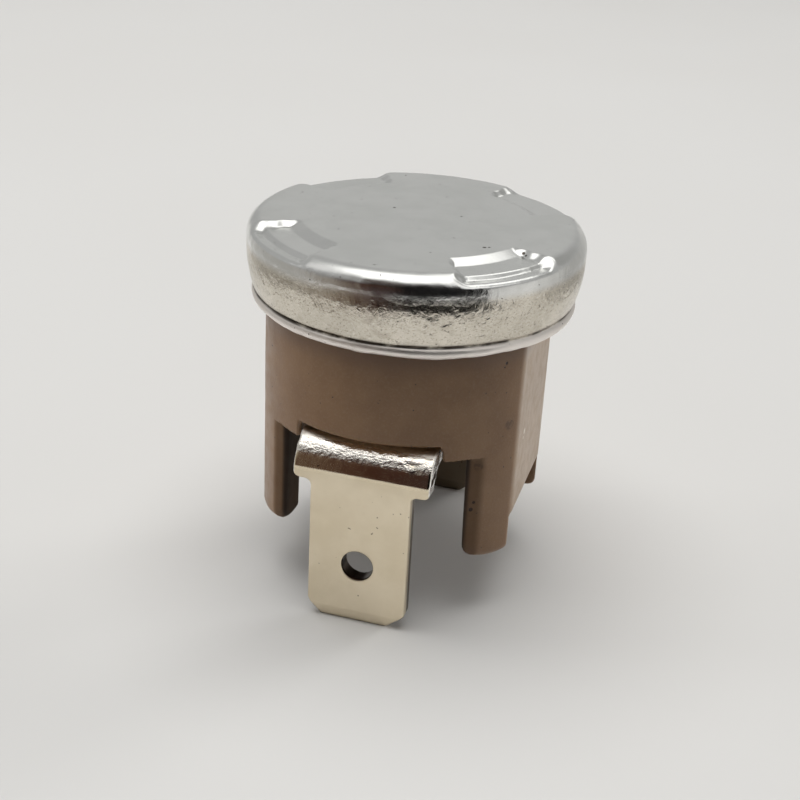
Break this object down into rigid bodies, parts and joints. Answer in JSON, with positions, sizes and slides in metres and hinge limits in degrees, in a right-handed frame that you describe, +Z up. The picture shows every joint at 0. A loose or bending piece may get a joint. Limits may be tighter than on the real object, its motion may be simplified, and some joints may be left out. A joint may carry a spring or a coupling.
{
  "type": "bimetal disc thermostat",
  "caption": "Snap-action bimetal disc thermostat: a staked metal sensing cap on a moulded skirted body, with bent push-on blade terminals below.",
  "frame": {"origin": "on the surface that the tab tips stand on, below the centre of the sensing cap", "axes": "+Z up the part's axis towards the flat top of the sensing cap, -Y towards the front terminal, +X to the right seen from the front"},
  "size_m": [0.016, 0.016, 0.018],
  "materials": {
    "cap_metal": "drawn sheet, satin",
    "disc_metal": "rolled bimetal sheet",
    "guide_plastic": "moulded phenolic",
    "pin_ceramic": "white unglazed ceramic",
    "housing_plastic": "moulded phenolic, low sheen",
    "arm_metal": "spring copper alloy",
    "contact_metal": "silver alloy",
    "plate_metal": "rolled brass",
    "terminal_metal": "tin-plated, bright at the bend",
    "rivet_metal": "tin-plated"
  },
  "bodies": {
    "body": {"housing": "housing_plastic", "cap": "cap_metal", "bimetal_disc": "disc_metal", "pin_guide": "guide_plastic", "contact_plate": "plate_metal", "fixed_contact": "contact_metal", "terminal_front": "terminal_metal", "terminal_rear": "terminal_metal", "rivet_front": "rivet_metal", "rivet_rear": "rivet_metal"},
    "pin": {"transfer_pin": "pin_ceramic"},
    "arm": {"contact_arm": "arm_metal", "moving_contact": "contact_metal"}
  },
  "joints": [
    {"name": "pin_slide", "type": "slide", "parent": "body", "child": "pin", "axis": [0, 0, -1], "range_m": [0, 0.00032], "deforming": ["bimetal_disc"]},
    {"name": "arm_flex", "type": "hinge", "parent": "body", "child": "arm", "pos_m": [0, 0.00425, 0.01208], "axis": [1, 0, 0], "range_deg": [0, 4.32], "stiffness_Nm_per_rad": 0.07, "springref_deg": -2.01}
  ],
  "couplings": [
    {"joint": "arm_flex", "follows": "pin_slide", "rad_per_m": 235.29}
  ]
}
